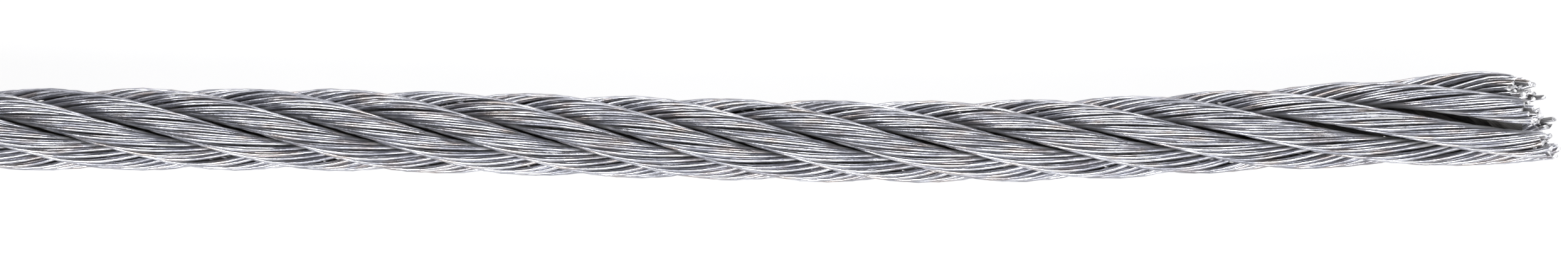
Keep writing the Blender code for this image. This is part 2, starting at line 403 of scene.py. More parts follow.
@dataclass
class CoilRoute:
    """Route of the rope through the coil, layer by layer from the top one down.

    Each turn moves over, or down, in a sector of its own. The sectors follow each other from the
    place where the rope leaves, so that no turn crosses another. Angles are in degrees.
    """

    axis: Vector
    make: RopeMake
    base: float = 0.002
    turn_diameter: float = 0.180
    columns: int = 3
    layers: int = 3
    sector: float = 48.0
    exit_angle: float = -90.0
    step: float = 0.0023
    readings_per_degree: int = 2

    def moves(self) -> list[tuple[float, int, int]]:
        """Where the rope moves over, or down.

        Returns:
            For each move the angle travelled, the change of column and the change of layer.
        """
        found = []
        for turn in range(1, self.columns * self.layers):
            layer = self.layers - 1 - (turn - 1) // self.columns
            if turn % self.columns:
                over = 1 if layer % 2 == 0 else -1
                found.append((FULL_TURN_DEGREES * turn + self.sector * 2 * layer, over, 0))
            else:
                found.append((FULL_TURN_DEGREES * turn + self.sector * (2 * layer - 1), 0, -1))
        return found

    def path(self) -> RopePath:
        """The coiled rope.

        Returns:
            The rope in even steps, with distance 0 where it leaves.
        """
        start = self.sector * (2 * self.layers - 1)
        end = FULL_TURN_DEGREES * self.columns * self.layers
        angle = np.linspace(start, end, int((end - start) * self.readings_per_degree))
        column = np.zeros_like(angle)
        layer = np.full_like(angle, self.layers - 1)
        for begins, over, down in self.moves():
            moved = smooth_step(angle, begins, begins + self.sector)
            column += over * moved
            layer += down * moved
        thick = self.make.diameter
        radius = self.turn_diameter / 2 + (column - (self.columns - 1) / 2) * thick
        height = self.base + (layer + 0.5) * thick
        way = np.radians(angle + self.exit_angle)
        x = self.axis.x + radius * np.cos(way)
        y = self.axis.y + radius * np.sin(way)
        line = np.stack([x, y, height], axis=1)
        lengths = np.linalg.norm(np.diff(line, axis=0), axis=1)
        reach = np.concatenate([[0], np.cumsum(lengths)])
        even = np.linspace(0, reach[-1], int(reach[-1] / self.step) + 1)
        centre = np.stack([np.interp(even, reach, line[:, axis]) for axis in range(3)], axis=1)
        along = even - reach[-1]
        _, side, up = level_frame(centre, even)
        return RopePath(
            along=along,
            centre=centre,
            side=side,
            up=up,
            spread=np.ones_like(even),
            twist=FULL_TURN * (along - self.make.strand_at_side) / self.make.lay,
            wire_turn=FULL_TURN * along / self.make.wire_lay,
        )


class Shell:
    """Faces gathered for one mesh, with what the finishes read at each corner."""

    def __init__(self) -> None:
        """Starts with no faces."""
        self.corners: list[np.ndarray] = []
        self.places: list[np.ndarray] = []
        self.openness: list[np.ndarray] = []
        self.exposure: list[np.ndarray] = []
        self.faces: list[list[int]] = []
        self.finishes: list[int] = []
        self.count = 0

    def add_tube(
        self,
        rings: np.ndarray,
        places: np.ndarray,
        openness: np.ndarray | float = 1.0,
        exposed: np.ndarray | float = 1.0,
        cap: int = 0,
    ) -> None:
        """Adds a closed tube.

        Args:
            rings: Corners of each ring, counted round the way ahead.
            places: Each corner's place on its wire.
            openness: How freely each corner of a ring lies, from 0 in a groove to 1 on a crest; the wire
                finish paints shade where it is low.
            exposed: How far each corner stands out of the valleys between the strands.
            cap: Finish of the face at the far end.
        """
        steps, sides = rings.shape[:2]
        index = np.arange(steps * sides).reshape(steps, sides) + self.count
        near, far = index[:-1], index[1:]
        quads = np.stack([near, np.roll(near, -1, 1), np.roll(far, -1, 1), far], axis=-1)
        self.faces += quads.reshape(-1, 4).tolist()
        self.finishes += [0] * (steps - 1) * sides
        self.faces += [index[0][::-1].tolist(), index[-1].tolist()]
        self.finishes += [0, cap]
        self.corners.append(rings.reshape(-1, 3))
        self.places.append(places.reshape(-1, 3))
        self.openness.append(np.broadcast_to(openness, (steps, sides)).ravel())
        self.exposure.append(np.broadcast_to(exposed, (steps, sides)).ravel())
        self.count += steps * sides

    def mesh(self, name: str, sharp: float) -> bpy.types.Mesh:
        """The gathered faces as a mesh.

        Args:
            name: Name of the mesh.
            sharp: Angle in degrees past which an edge stays sharp.

        Returns:
            The mesh, smooth but for its sharp edges.
        """
        made = bpy.data.meshes.new(name)
        made.from_pydata(np.concatenate(self.corners).tolist(), [], self.faces)
        made.polygons.foreach_set("material_index", self.finishes)
        place = made.attributes.new("wire_place", "FLOAT_VECTOR", "POINT")
        place.data.foreach_set("vector", np.concatenate(self.places).ravel())
        for label, values in {"openness": self.openness, "exposure": self.exposure}.items():
            share = made.attributes.new(label, "FLOAT", "POINT")
            share.data.foreach_set("value", np.concatenate(values))
        made.shade_smooth()
        made.set_sharp_from_angle(angle=math.radians(sharp))
        return made


@dataclass(frozen=True)
class Signal:
    """Output of a node, on which Python's operators add Math nodes."""

    recipe: "Recipe"
    socket: bpy.types.NodeSocket

    def maths(self, operation: str, first: Any, second: Any) -> "Signal":
        """A Math node on two values."""
        return self.recipe.node("ShaderNodeMath", {"operation": operation}, {0: first, 1: second})

    def __add__(self, other: Any) -> "Signal":
        """Sum."""
        return self.maths("ADD", self, other)

    def __radd__(self, other: Any) -> "Signal":
        """Sum, with the signal on the right."""
        return self.maths("ADD", other, self)

    def __sub__(self, other: Any) -> "Signal":
        """Difference."""
        return self.maths("SUBTRACT", self, other)

    def __rsub__(self, other: Any) -> "Signal":
        """Difference, with the signal on the right."""
        return self.maths("SUBTRACT", other, self)

    def __mul__(self, other: Any) -> "Signal":
        """Product."""
        return self.maths("MULTIPLY", self, other)

    def __rmul__(self, other: Any) -> "Signal":
        """Product, with the signal on the right."""
        return self.maths("MULTIPLY", other, self)


class Recipe:
    """Node tree of one finish, or of the room."""

    def __init__(self, owner: bpy.types.Material | bpy.types.World) -> None:
        """Starts with an empty tree.

        Args:
            owner: The material or world that the tree belongs to.
        """
        owner.use_nodes = True
        self.owner = owner
        self.tree = owner.node_tree
        self.tree.nodes.clear()

    def node(
        self,
        kind: str,
        settings: dict[str, Any] | None = None,
        sockets: dict[str | int, Any] | None = None,
        output: str | int = 0,
    ) -> Signal:
        """Adds a node.

        Args:
            kind: Type of the node.
            settings: Properties to set before the sockets, with a ramp's stops under "stops".
            sockets: Values or signals for its inputs.
            output: Which output is wanted.

        Returns:
            That output.
        """
        made = self.tree.nodes.new(kind)
        for name, value in (settings or {}).items():
            if name == "stops":
                ramp = made.color_ramp.elements
                while len(ramp) < len(value):
                    ramp.new(1.0)
                for stop, (position, shade) in zip(ramp, value):
                    stop.position = position
                    stop.color = (shade, shade, shade, 1.0)
            else:
                setattr(made, name, value)
        for name, value in (sockets or {}).items():
            if isinstance(value, Signal):
                self.tree.links.new(value.socket, made.inputs[name])
            else:
                made.inputs[name].default_value = value
        return Signal(self, made.outputs[output])

    def attribute(self, name: str, output: str = "Fac") -> Signal:
        """What the mesh holds under this name."""
        return self.node("ShaderNodeAttribute", {"attribute_name": name}, output=output)

    def wire_place(self) -> Signal:
        """Place on the wire."""
        return self.attribute("wire_place", "Vector")

    def noise(self, place: Signal, scale: float, detail: float) -> Signal:
        """Noise from 0 to 1 over a place."""
        inputs = {"Vector": place, "Scale": scale, "Detail": detail}
        return self.node("ShaderNodeTexNoise", {}, inputs, "Fac")

    def streaks(self, place: Signal, scale: tuple[float, ...], detail: float) -> Signal:
        """Noise from 0 to 1 with a scale of its own along each axis."""
        stretched = self.node(
            "ShaderNodeVectorMath", {"operation": "MULTIPLY"}, {0: place, 1: scale}
        )
        return self.noise(stretched, 1.0, detail)

    def ramp(self, value: Signal, stops: Stops) -> Signal:
        """Ramp of greys on a value."""
        return self.node("ShaderNodeValToRGB", {"stops": stops}, {"Fac": value})

    def rise(self, value: Signal, low: float, high: float, most: float = 1.0) -> Signal:
        """Even rise from 0 where the value is low to most where it is high."""
        return self.ramp(value, ((low, 0.0), (high, most)))

    def mix(self, share: Any, first: Any, second: Any) -> Signal:
        """Mix of two colours.

        Args:
            share: Share of the second colour.
            first: The first colour.
            second: The second colour.

        Returns:
            The mixed colour.
        """
        first_colour, second_colour, mixed_colour = 6, 7, 2
        inputs = {"Factor": share, first_colour: first, second_colour: second}
        return self.node("ShaderNodeMix", {"data_type": "RGBA"}, inputs, mixed_colour)

    def bump(self, height: Signal, strength: float, distance: float) -> Signal:
        """Normal of a surface with this relief."""
        inputs = {"Strength": strength, "Distance": distance, "Height": height}
        return self.node("ShaderNodeBump", {}, inputs)

    def finished(self, shader: dict[str | int, Any]) -> bpy.types.Material:
        """Closes the recipe with a Principled shader.

        Args:
            shader: Values or signals for the shader's inputs.

        Returns:
            The material.
        """
        self.close(self.node("ShaderNodeBsdfPrincipled", {}, shader), "ShaderNodeOutputMaterial")
        return self.owner

    def close(self, surface: Signal, kind: str) -> None:
        """Joins a shader to an output node of this kind."""
        made = self.tree.nodes.new(kind)
        self.tree.links.new(surface.socket, made.inputs["Surface"])


def rgba(red: float, green: float, blue: float) -> Colour:
    """Opaque colour."""
    return (red, green, blue, 1.0)


@dataclass(frozen=True)
class GalvanisedWire:
    """Drawn wire with a thin zinc coat: bright, streaked along the wire, here and there frosted.

    The grooves between wires are darker, as painted shade, and grime lies deep between the strands.
    """

    bright: Colour = rgba(0.775, 0.780, 0.835)
    dull: Colour = rgba(0.365, 0.371, 0.418)
    warm: Colour = rgba(0.46, 0.39, 0.35)
    stained: Colour = rgba(0.130, 0.134, 0.164)
    # painted shade for the grooves between wires, where the wires face into their strand
    groove_shade: Colour = rgba(0.170, 0.168, 0.175)
    grimed: Colour = rgba(0.340, 0.340, 0.350)
    smooth: float = 0.16
    frosted: float = 0.42
    streak_scale: tuple[float, ...] = (150.0, 4200.0, 4200.0)
    streak_detail: float = 4.0
    dent_scale: tuple[float, ...] = (60.0, 900.0, 900.0)
    dent_detail: float = 1.0
    patch_scale: tuple[float, ...] = (160.0, 700.0, 700.0)
    patch_detail: float = 3.0
    tint_scale: float = 210.0
    tint_detail: float = 2.0
    speck_scale: float = 3200.0
    speck_detail: float = 2.0
    worn_range: tuple[float, float] = (0.36, 0.66)
    tint_range: tuple[float, float] = (0.52, 0.66)
    frost_range: tuple[float, float] = (0.46, 0.60)
    groove_range: tuple[float, float] = (0.0, 0.34)
    most_tint: float = 0.7
    most_stain: float = 0.65
    groove_metal: float = 0.3
    streak_roughness: float = 0.4
    frost_roughness: float = 0.6
    grime_roughness: float = 0.3
    least_grain: float = 0.25
    streak_height: float = 0.24
    dent_height: float = 1.15
    grain_height: float = 0.5
    relief: float = 0.0001
    relief_strength: float = 1.0

    def material(self) -> bpy.types.Material:
        """Builds the finish.

        Returns:
            The material.
        """
        recipe = Recipe(bpy.data.materials.new("galvanised_wire"))
        place = recipe.wire_place()
        streak = recipe.streaks(place, self.streak_scale, self.streak_detail)
        patch = recipe.streaks(place, self.patch_scale, self.patch_detail)
        dent = recipe.streaks(place, self.dent_scale, self.dent_detail)
        speck = recipe.noise(place, self.speck_scale, self.speck_detail)
        tint = recipe.noise(place, self.tint_scale, self.tint_detail)
        frost = recipe.rise(patch, *self.frost_range)
        on_crest = recipe.rise(recipe.attribute("openness"), *self.groove_range)
        exposed = recipe.attribute("exposure")
        colour = recipe.mix(recipe.rise(streak, *self.worn_range), self.bright, self.dull)
        colour = recipe.mix(recipe.rise(tint, *self.tint_range, self.most_tint), colour, self.warm)
        colour = recipe.mix(self.most_stain * frost, colour, self.stained)
        # painted shade: wire sides that face into their strand, and the flutes between the outer wires,
        # are darkened
        colour = recipe.mix(on_crest, self.groove_shade, colour)
        colour = recipe.mix(exposed, self.grimed, colour)
        metal = exposed * (self.groove_metal + (1 - self.groove_metal) * on_crest)
        rough_share = self.streak_roughness * streak + self.frost_roughness * frost
        rough = self.smooth + (self.frosted - self.smooth) * rough_share
        grain = speck * (self.least_grain + (1 - self.least_grain) * frost)
        height = self.streak_height * streak + self.dent_height * dent + self.grain_height * grain
        return recipe.finished(
            {
                "Base Color": colour,
                "Metallic": metal,
                "Roughness": rough + self.grime_roughness * (1 - exposed),
                "Normal": recipe.bump(height, self.relief_strength, self.relief),
            }
        )


@dataclass(frozen=True)
class ShearedSteel:
    """Fresh face of a cut wire, bare of zinc and smeared by the shears."""

    bright: Colour = rgba(0.82, 0.82, 0.84)
    smeared: Colour = rgba(0.38, 0.38, 0.40)
    smear_scale: float = 3500.0
    smear_detail: float = 3.0
    smear_range: tuple[float, float] = (0.40, 0.62)
    least_rough: float = 0.40
    more_rough: float = 0.2

    def material(self) -> bpy.types.Material:
        """Builds the finish.

        Returns:
            The material.
        """
        recipe = Recipe(bpy.data.materials.new("sheared_steel"))
        smear = recipe.noise(recipe.wire_place(), self.smear_scale, self.smear_detail)
        colour = recipe.mix(recipe.rise(smear, *self.smear_range), self.bright, self.smeared)
        rough = self.least_rough + self.more_rough * smear
        return recipe.finished({"Base Color": colour, "Metallic": 1.0, "Roughness": rough})


@dataclass(frozen=True)
class GreasedFibre:
    """Laid fibre soaked with dark grease."""

    soaked: Colour = rgba(0.050, 0.048, 0.046)
    dry: Colour = rgba(0.130, 0.120, 0.110)
    thread_scale: tuple[float, ...] = (300.0, 4200.0, 4200.0)
    thread_detail: float = 4.0
    dry_range: tuple[float, float] = (0.42, 0.75)
    least_rough: float = 0.45
    more_rough: float = 0.4
    relief: float = 0.00012
    relief_strength: float = 0.8

    def material(self) -> bpy.types.Material:
        """Builds the finish.

        Returns:
            The material.
        """
        recipe = Recipe(bpy.data.materials.new("greased_fibre"))
        thread = recipe.streaks(recipe.wire_place(), self.thread_scale, self.thread_detail)
        colour = recipe.mix(recipe.rise(thread, *self.dry_range), self.soaked, self.dry)
        rough = self.least_rough + self.more_rough * thread
        bump = recipe.bump(thread, self.relief_strength, self.relief)
        return recipe.finished({"Base Color": colour, "Roughness": rough, "Normal": bump})


@dataclass(frozen=True)
class BlackNylon:
    """Moulded nylon with a satin skin and faint flow marks."""

    dark: Colour = rgba(0.014, 0.014, 0.016)
    pale: Colour = rgba(0.034, 0.034, 0.037)
    flow_scale: float = 420.0
    flow_detail: float = 3.0
    flow_range: tuple[float, float] = (0.40, 0.70)
    grain_scale: float = 5200.0
    grain_detail: float = 2.0
    least_rough: float = 0.34
    more_rough: float = 0.22
    relief: float = 0.00004
    relief_strength: float = 0.25

    def material(self) -> bpy.types.Material:
        """Builds the finish.

        Returns:
            The material.
        """
        recipe = Recipe(bpy.data.materials.new("black_nylon"))
        place = recipe.node("ShaderNodeTexCoord", {}, {}, "Object")
        flow = recipe.noise(place, self.flow_scale, self.flow_detail)
        colour = recipe.mix(recipe.rise(flow, *self.flow_range), self.dark, self.pale)
        rough = self.least_rough + self.more_rough * flow
        grain = recipe.noise(place, self.grain_scale, self.grain_detail)
        bump = recipe.bump(grain, self.relief_strength, self.relief)
        return recipe.finished({"Base Color": colour, "Roughness": rough, "Normal": bump})


@dataclass(frozen=True)
class Finishes:
    """The materials that the pieces share."""

    wire: bpy.types.Material
    sheared: bpy.types.Material
    fibre: bpy.types.Material
    nylon: bpy.types.Material


def place_piece(
    name: str,
    mesh: bpy.types.Mesh,
    materials: list[bpy.types.Material],
    replaced: str,
) -> bpy.types.Object:
    """Puts a finished mesh on the object in place of a plain node.

    Args:
        name: Name of the piece.
        mesh: Its mesh.
        materials: Its materials, in the order of its face numbers.
        replaced: Node of the frame that it stands for.

    Returns:
        The piece.
    """
    piece = bpy.data.objects.new(name, mesh)
    bpy.context.scene.collection.objects.link(piece)
    for material in materials:
        mesh.materials.append(material)
    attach(piece, "root")
    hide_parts(replaced)
    log.info("%s: %d faces", name, len(mesh.polygons))
    return piece


@dataclass
class FibreCore:
    """The fibre core, three yarns laid together, each with ridges of fibre."""

    make: RopeMake
    step: float = 0.0008
    begins: float = 0.0002
    yarns: int = 3
    yarn_sides: int = 14
    yarn_lay: float = 0.021
    yarn_share: float = 0.52
    ridges: int = 5
    ridge_height: float = 0.10
    ridge_turns: int = 2
    swell_reach: float = 0.008
    swell: float = 0.04
    loosening: float = 0.9
    thinned: float = 0.6
    thinned_length: float = 0.003
    stub_sides: int = 18
    stub_share: float = 0.9
    sharp: float = 60.0
    seed: int = 10

    def build(self, route: FreeRoute, ends: float, finishes: Finishes) -> bpy.types.Object:
        """The core of the free end, which loosens where the strands spring open.

        Args:
            route: Route of the free end.
            ends: Distance at which the core ends.
            finishes: The materials.

        Returns:
            The core.
        """
        shell = Shell()
        rng = np.random.default_rng(self.seed)
        along = np.linspace(self.begins, ends, math.ceil(ends / self.step))
        centre = route.centres(along)
        _, side, up = level_frame(centre, along)
        room = self.make.strand_circle * (route.spread(along) - 1)
        core_radius = (self.make.core_radius + self.loosening * room)[:, None]
        yarn_radius = self.yarn_share * core_radius
        turn = round_angles(self.yarn_sides)
        ridge = 1 + self.ridge_height * np.cos(self.ridges * turn)
        frayed = smooth_step(along, ends - self.thinned_length, ends)
        thin = (1 - self.thinned * frayed)[:, None, None]
        for yarn in range(self.yarns):
            angle = (FULL_TURN * (along / self.yarn_lay + yarn / self.yarns))[:, None]
            swell = (1 + wander(rng, along, self.swell_reach, self.swell))[:, None, None]
            away = np.cos(angle) * side + np.sin(angle) * up
            line = centre + (core_radius - yarn_radius) * away
            ring = rounded(turn[None, :] + self.ridge_turns * angle, side, up)
            rings = line[:, None] + yarn_radius[:, None] * thin * swell * ridge[None, :, None] * ring
            shell.add_tube(rings, on_wire(along, yarn_radius, turn, yarn))
        name = "free_end_core_yarns"
        mesh = shell.mesh(name, self.sharp)
        return place_piece(name, mesh, [finishes.fibre], "free_end_core")

    def build_stub(self, path: RopePath, finishes: Finishes) -> bpy.types.Object:
        """The core where the coil's own end was cut, as one bar with a ridge for each yarn.

        Args:
            path: The first stretch of the coiled rope, from the cut on.
            finishes: The materials.

        Returns:
            The stub.
        """
        shell = Shell()
        turn = round_angles(self.stub_sides)
        ridge = 1 + self.ridge_height * np.cos(self.yarns * turn)
        angle = turn[None, :] + FULL_TURN * path.along[:, None] / self.yarn_lay
        ring = rounded(angle, path.side, path.up)
        radius = self.make.core_radius * self.stub_share
        rings = path.centre[:, None] + radius * ridge[None, :, None] * ring
        places = on_wire(path.along, self.make.core_radius, turn)
        shell.add_tube(rings[1:][::-1, ::-1], places[1:][::-1, ::-1])
        name = "coil_core_stub"
        mesh = shell.mesh(name, self.sharp)
        return place_piece(name, mesh, [finishes.fibre], "coil_turns")


@dataclass
class FreeEnd:
    """The straight stretch with every wire of its six strands, and the core between them.

    A drift is how far a wire strays from its laid place, and its reach is the length over which
    that changes. The bite is the way in which the shears closed on a wire.
    """

    route: FreeRoute
    make: RopeMake
    step: float = 0.0016
    fewest_steps: int = 4
    sides: int = 8
    inner_length: float = 0.030
    overlap: float = 0.0012
    lean_side: float = 0.43
    lean_up: float = 0.25
    uneven: float = 0.0007
    probe_back: float = 0.002
    core_back: float = 0.0015
    strand_flare: float = 0.10
    flare_length: float = 0.022
    wire_slack: float = 0.20
    bend: float = 0.0012
    bend_length: float = 0.0036
    bend_from: tuple[float, float] = (0.8, 0.6)
    clean_length: float = 0.0060
    bite_drift: float = 0.7
    bite_slope: tuple[float, float] = (0.5, 1.3)
    bite_pinch: float = 0.25
    angle_drift: float = 0.060
    angle_reach: float = 0.030
    radius_drift: float = 0.000024
    radius_reach: float = 0.020
    wire_shift: float = 0.1
    sharp: float = 55.0
    seed: int = 11

    def reach(self, side: float, up: float) -> float:
        """Distance at which the leaning cut crosses a wire.

        Args:
            side: The wire's offset towards the coil's axis.
            up: Its offset upwards.

        Returns:
            The distance from the coil.
        """
        outer = self.make.strand_circle * self.route.opening_spread + self.make.strand_radius
        longest = outer * math.hypot(self.lean_side, self.lean_up)
        return self.route.length - longest - self.lean_side * side - self.lean_up * up

    def wire_line(
        self, along: np.ndarray, strand: int, circle: float, phase: float, rng: np.random.Generator
    ) -> tuple[np.ndarray, np.ndarray]:
        """Middle of one wire, and the way out from its strand's middle.

        Args:
            along: Distances from the coil.
            strand: Number of the strand.
            circle: Radius of the circle that the wire runs on in its strand.
            phase: Angle on that circle at which it starts.
            rng: Source of its small errors.

        Returns:
            The middles and the outward directions.
        """
        path = self.route.path(along, self.wire_slack)
        middle, out, across = path.strand_frame(self.make, strand)
        flare = smooth_step(along, self.route.length - self.flare_length, self.route.length)
        drift = wander(rng, along, self.angle_reach, self.angle_drift) * (circle > 0)
        angle = (phase - path.wire_turn + drift)[:, None]
        strayed = wander(rng, along, self.radius_reach, self.radius_drift)
        radius = circle * (1 + self.strand_flare * flare) + strayed
        away = np.cos(angle) * out + np.sin(angle) * across
        return middle + radius[:, None] * away, away

    def spot_at_cut(
        self, strand: int, circle: float, phase: float, rng: np.random.Generator
    ) -> np.ndarray:
        """Where a wire lies beside the rope's middle just before the cut.

        Args:
            strand: Number of the strand.
            circle: Radius of the circle that the wire runs on in its strand.
            phase: Angle on that circle at which it starts.
            rng: Source of its small errors, left as it was.

        Returns:
            The wire's place less the rope's.
        """
        probe = self.route.length - self.probe_back
        at_cut = np.array([probe - self.step, probe, probe + self.step])
        state = rng.bit_generator.state
        line, _ = self.wire_line(at_cut, strand, circle, phase, rng)
        rng.bit_generator.state = state
        return line[1] - self.route.centres(at_cut)[1]

    def add_wire(
        self,
        shell: Shell,
        strand: int,
        wire: tuple[float, float],
        begins: float,
        rng: np.random.Generator,
    ) -> None:
        """Adds one wire with its sheared end.

        Args:
            shell: Where its faces go.
            strand: Number of the strand.
            wire: Radius of the wire's circle in its strand, and where on it the wire starts.
            begins: Distance at which the wire starts to show.
            rng: Source of its small errors.
        """
        circle, share = wire
        phase = FULL_TURN * share
        spot = self.spot_at_cut(strand, circle, phase, rng)
        ends = self.reach(spot[1], spot[2]) + rng.normal(0, self.uneven)
        ends = min(ends, self.route.length)
        count = max(self.fewest_steps, math.ceil((ends - begins) / self.step))
        along = np.linspace(begins, ends, count + 1)
        line, away = self.wire_line(along, strand, circle, phase, rng)
        outer = self.make.radius * self.route.opening_spread
        from_side, from_above = self.bend_from
        high = max(0.0, (from_side * spot[1] + from_above * spot[2]) / outer)
        pressed = smooth_step(along, ends - self.bend_length, ends + self.bend_length / 2)
        line = line - self.bend * high**2 * pressed[:, None] * unit(spot * [0.0, 1.0, 1.0])
        ahead, away, across = square_frame(line, along, away)
        radius = self.make.wire_diameter / 2
        turn = round_angles(self.sides)
        ring = rounded(turn, away, across)
        rings = line[:, None] + radius * ring
        bite = math.atan2(across[-1, 2], away[-1, 2]) + rng.normal(0, self.bite_drift)
        slope = -rng.uniform(*self.bite_slope) * radius * np.cos(turn - bite)
        pinch = 1 - rng.uniform(0.0, self.bite_pinch) * np.abs(np.cos(turn - bite))
        rings[-1] = line[-1] + radius * pinch[:, None] * ring[-1] + slope[:, None] * ahead[-1]
        number = rng.uniform(0, 1)
        places = on_wire(along, radius, turn, number, number * self.wire_shift)
        openness = np.clip(np.cos(turn), 0.0, 1.0) if circle > 0 else 1.0
        by_cut = smooth_step(along, ends - self.clean_length, ends)[:, None]
        centre, spread = self.route.centres(along), self.route.spread(along)
        exposed = np.maximum(self.make.exposure(rings, centre, spread), by_cut)
        shell.add_tube(rings, places, openness, exposed, cap=1)

    def build_strand(self, index: int, finishes: Finishes) -> bpy.types.Object:
        """One strand with all its wires.

        Args:
            index: Number of the strand, from 0.
            finishes: The materials.

        Returns:
            The strand.
        """
        shell = Shell()
        rng = np.random.default_rng(self.seed + index)
        for wire in self.make.outer_wires():
            self.add_wire(shell, index, wire, -self.overlap, rng)
        for wire in self.make.inner_wires():
            self.add_wire(shell, index, wire, self.route.length - self.inner_length, rng)
        node = f"free_end_strand_{index + 1}"
        mesh = shell.mesh(node + "_wires", self.sharp)
        materials = [finishes.wire, finishes.sheared]
        return place_piece(node + "_wires", mesh, materials, node)

    def build(self, finishes: Finishes) -> list[bpy.types.Object]:
        """All the strands and the core.

        Args:
            finishes: The materials.

        Returns:
            The pieces.
        """
        core_end = self.reach(0.0, 0.0) - self.core_back
        core = FibreCore(self.make).build(self.route, core_end, finishes)
        strands = [self.build_strand(index, finishes) for index in range(self.make.strands)]
        path_points = 71
        line = self.route.centres(np.linspace(0, self.route.length, path_points))
        return [core, *strands]


@dataclass
class CoilTurns:
    """The wound part of the rope: strands fluted by their outer wires, single wires at its cut."""

    route: CoilRoute
    make: RopeMake
    groove_depth: float = 0.000235
    cut_length: float = 0.024
    cut_step: float = 0.0012
    overlap: float = 0.002
    wire_sides: int = 8
    uneven: float = 0.0004
    cut_slope: tuple[float, float] = (0.1, 0.6)
    wire_shift: float = 0.1
    sharp: float = 75.0
    seed: int = 40

    def fluted(self, shell: Shell, path: RopePath, index: int) -> None:
        """Adds one strand as a tube with a flute between every two outer wires.

        Args:
            shell: Where its faces go.
            path: The coiled rope.
            index: Number of the strand, from 0.
        """
        points = 2 * self.make.wires_out
        turn = round_angles(points)
        crest = 1 - np.arange(points) % 2
        radius = self.make.strand_radius - self.groove_depth * (1 - crest)
        middle, out, across = path.strand_frame(self.make, index)
        angle = turn[None, :] - path.wire_turn[:, None]
        rings = middle[:, None] + radius[None, :, None] * rounded(angle, out, across)
        places = on_wire(path.along, radius, turn, index)
        exposed = self.make.exposure(rings, path.centre, path.spread)
        begins = int((self.cut_length - self.overlap) / self.route.step)
        shell.add_tube(rings[begins:], places[begins:], crest, exposed[begins:])

    def cut_wires(self, shell: Shell, path: RopePath, index: int) -> None:
        """Adds the single wires of one strand where the coil's own end was cut.

        Args:
            shell: Where their faces go.
            path: The first stretch of the coiled rope, finely stepped.
            index: Number of the strand, from 0.
        """
        rng = np.random.default_rng(self.seed + index)
        middle, out, across = path.strand_frame(self.make, index)
        radius = self.make.wire_diameter / 2
        turn = round_angles(self.wire_sides)
        backward = (slice(None, None, -1), slice(None, None, -1))
        for circle, share in self.make.outer_wires() + self.make.inner_wires():
            angle = (FULL_TURN * share - path.wire_turn)[:, None]
            away = np.cos(angle) * out + np.sin(angle) * across
            line = middle + circle * away
            ahead, away, beside = square_frame(line, path.along, away)
            rings = line[:, None] + radius * rounded(turn, away, beside)
            steepness = rng.uniform(*self.cut_slope)
            slope = steepness * radius * np.cos(turn - rng.uniform(0, FULL_TURN))
            rings[0] += (slope + abs(rng.normal(0, self.uneven)))[:, None] * ahead[0]
            places = on_wire(path.along, radius, turn, share, self.wire_shift * share)
            openness = np.clip(np.cos(turn), 0.0, 1.0)[::-1]
            exposed = self.make.exposure(rings, path.centre, path.spread)
            shell.add_tube(rings[backward], places[backward], openness, exposed[backward], cap=1)

    def build(self, finishes: Finishes) -> list[bpy.types.Object]:
        """The six strands of the coil, and the core where its end was cut.

        Args:
            finishes: The materials.

        Returns:
            The pieces.
        """
        path = self.route.path()
        log.info("rope in the coil: %.3f m", -path.along[0])
        count = int(self.cut_length / self.cut_step)
        fine = replace(self.route, step=self.cut_step).path().first(count)
        made = []
        for index in range(self.make.strands):
            shell = Shell()
            self.fluted(shell, path, index)
            self.cut_wires(shell, fine, index)
            name = f"coil_strand_{index + 1}"
            mesh = shell.mesh(name, self.sharp)
            materials = [finishes.wire, finishes.sheared]
            made.append(place_piece(name, mesh, materials, "coil_turns"))
        made.append(FibreCore(self.make).build_stub(fine, finishes))
        return made


